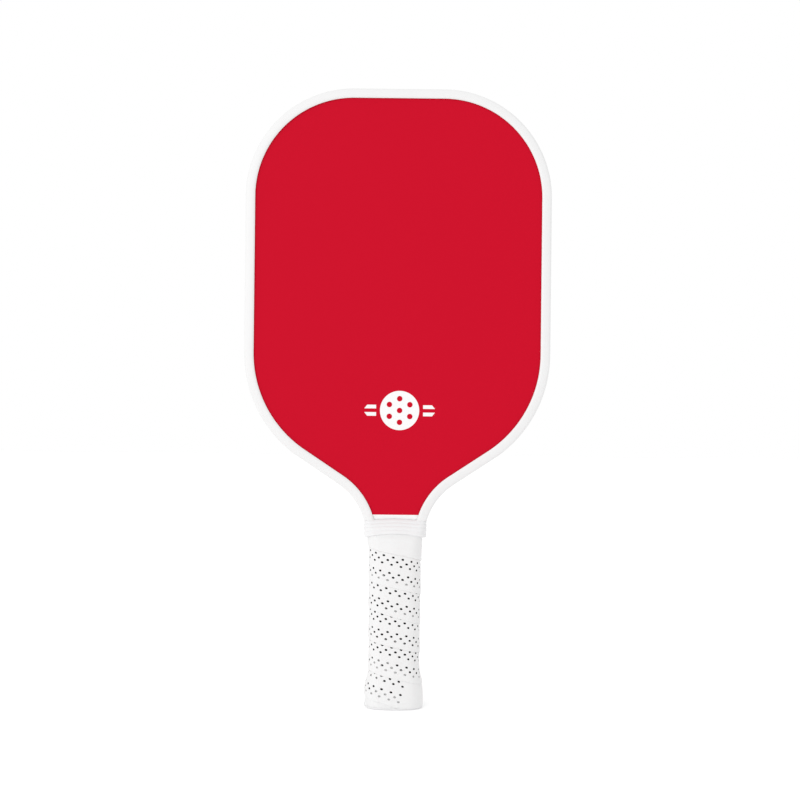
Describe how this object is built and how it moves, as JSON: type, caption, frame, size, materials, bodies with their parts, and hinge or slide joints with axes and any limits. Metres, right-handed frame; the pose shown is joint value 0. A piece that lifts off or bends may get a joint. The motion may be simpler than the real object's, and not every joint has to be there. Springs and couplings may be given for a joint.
{
  "type": "pickleball paddle",
  "caption": "Rigid pickleball paddle: flat honeycomb panel with two hard faces, a U-section edge guard and a wrapped, flared handle.",
  "frame": {"origin": "centre of the butt cap's resting face", "axes": "+Z from the butt up the handle to the head, X across the hitting faces, Y through the thickness with the front face towards -Y"},
  "size_m": [0.1998, 0.033, 0.4034],
  "materials": {
    "core_polymer": "matte",
    "core_film": "matte",
    "front_face_sheet": "satin",
    "back_face_sheet": "satin",
    "edge_tape": "matte",
    "guard_moulding": "satin",
    "handle_wood": "bare",
    "cap_plastic": "satin",
    "staple_steel": "bright",
    "badge_resin": "gloss",
    "wrap_leather": "matte",
    "finishing_tape": "satin",
    "collar_rubber": "matte"
  },
  "bodies": {
    "root": {"honeycomb_core": "core_polymer", "front_core_film": "core_film", "back_core_film": "core_film", "front_face": "front_face_sheet", "back_face": "back_face_sheet", "edge_guard_tape": "edge_tape", "edge_guard": "guard_moulding", "handle_pallet_front": "handle_wood", "handle_pallet_back": "handle_wood", "butt_cap": "cap_plastic", "butt_cap_staple_front": "staple_steel", "butt_cap_staple_back": "staple_steel", "butt_badge": "badge_resin", "grip_wrap": "wrap_leather", "grip_finishing_tape": "finishing_tape", "grip_collar": "collar_rubber"}
  },
  "joints": []
}
